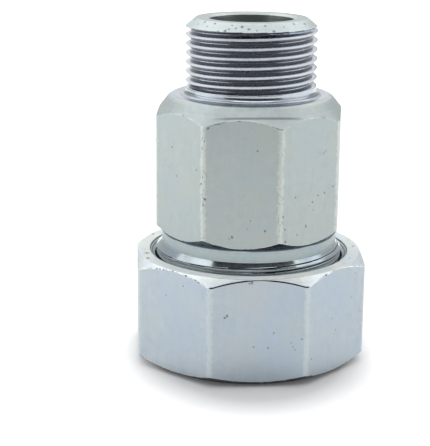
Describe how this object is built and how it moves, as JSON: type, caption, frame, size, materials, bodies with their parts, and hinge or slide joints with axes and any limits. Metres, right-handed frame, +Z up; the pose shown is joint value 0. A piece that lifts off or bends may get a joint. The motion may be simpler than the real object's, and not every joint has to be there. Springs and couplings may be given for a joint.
{
  "type": "threaded pipe coupling",
  "caption": "Zinc plated steel pipe coupling: octagonal body with a male pipe thread on top, screwed into an octagonal compression nut that clamps a steel pipe.",
  "frame": {"origin": "centre of the nut's lower face, on the pipe axis", "axes": "+Z up along the pipe axis towards the male thread, -Y towards a flat of the nut"},
  "size_m": [0.058, 0.058, 0.0877],
  "materials": {
    "nut_steel": "bright zinc plating with a bluish tint on drawn bar",
    "body_steel": "bright zinc plating with a faint greenish tint on drawn bar",
    "seal_rubber": "smooth black sealing rubber",
    "washer_steel": "stamped and zinc plated",
    "grip_steel": "hardened and oiled, dark grey"
  },
  "bodies": {
    "nut": {"compression_nut": "nut_steel"},
    "clamp_rings": {"grip_ring": "grip_steel", "thrust_washer": "washer_steel"},
    "coupling": {"coupling_body": "body_steel", "seal_ring": "seal_rubber"}
  },
  "joints": [
    {"name": "unscrew_turn", "type": "hinge", "parent": "nut", "child": "clamp_rings", "pos_m": [0, 0, 0], "axis": [0, 0, 1], "range_deg": [0, 1800]},
    {"name": "unscrew_lift", "type": "slide", "parent": "clamp_rings", "child": "coupling", "axis": [0, 0, 1], "range_m": [0, 0.01]}
  ],
  "couplings": [
    {"joint": "unscrew_lift", "follows": "unscrew_turn", "m_per_rad": 0.00031831}
  ]
}
